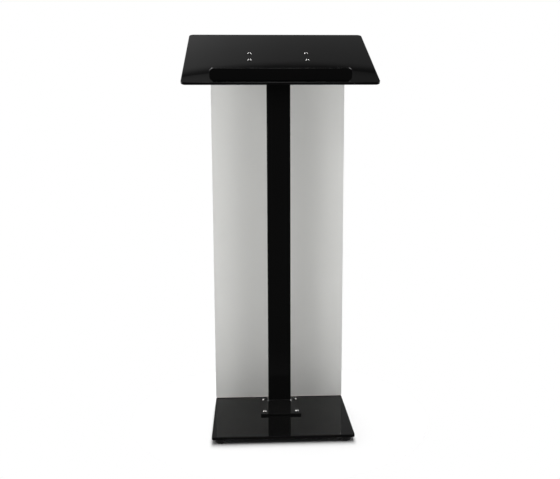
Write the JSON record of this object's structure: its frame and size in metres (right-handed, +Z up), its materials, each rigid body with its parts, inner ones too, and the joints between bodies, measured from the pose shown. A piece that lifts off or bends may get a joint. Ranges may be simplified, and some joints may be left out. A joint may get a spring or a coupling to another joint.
{
  "type": "lectern stand",
  "caption": "Floor-standing lectern: tilted reading board with a book stop on a slim post, frosted front panel and flat base plate.",
  "frame": {"origin": "on the floor, under the middle of the whole stand's bounding box", "axes": "+X to the speaker's right, +Y from the speaker to the audience, +Z up"},
  "size_m": [0.542, 0.4475, 1.1626],
  "materials": {
    "base_coating": "gloss black coat on steel",
    "post_coating": "gloss black coat on steel",
    "foot_rubber": "moulded, matte",
    "black_acrylic": "polished",
    "frosted_acrylic": "frosted, translucent",
    "stainless_steel": "bright",
    "plated_steel": "zinc plated",
    "spacer_aluminium": "satin anodised",
    "washer_nylon": "natural"
  },
  "bodies": {
    "root": {"base_plate": "base_coating", "rubber_foot_front_left": "foot_rubber", "rubber_foot_front_right": "foot_rubber", "rubber_foot_rear_left": "foot_rubber", "rubber_foot_rear_right": "foot_rubber", "foot_washers": "plated_steel", "foot_screws": "stainless_steel", "foot_plate": "post_coating", "foot_plate_screws": "stainless_steel", "post": "post_coating", "post_foot_weld": "post_coating", "post_head_weld": "post_coating", "head_plate": "post_coating", "reading_board_screws": "stainless_steel", "board_washers": "plated_steel", "board_nuts": "plated_steel", "reading_board": "black_acrylic", "book_stop": "black_acrylic", "book_stop_screws": "stainless_steel", "front_panel": "frosted_acrylic", "panel_spacers": "spacer_aluminium", "panel_washers": "washer_nylon", "panel_screws": "stainless_steel", "rivet_nuts": "plated_steel"}
  },
  "joints": []
}
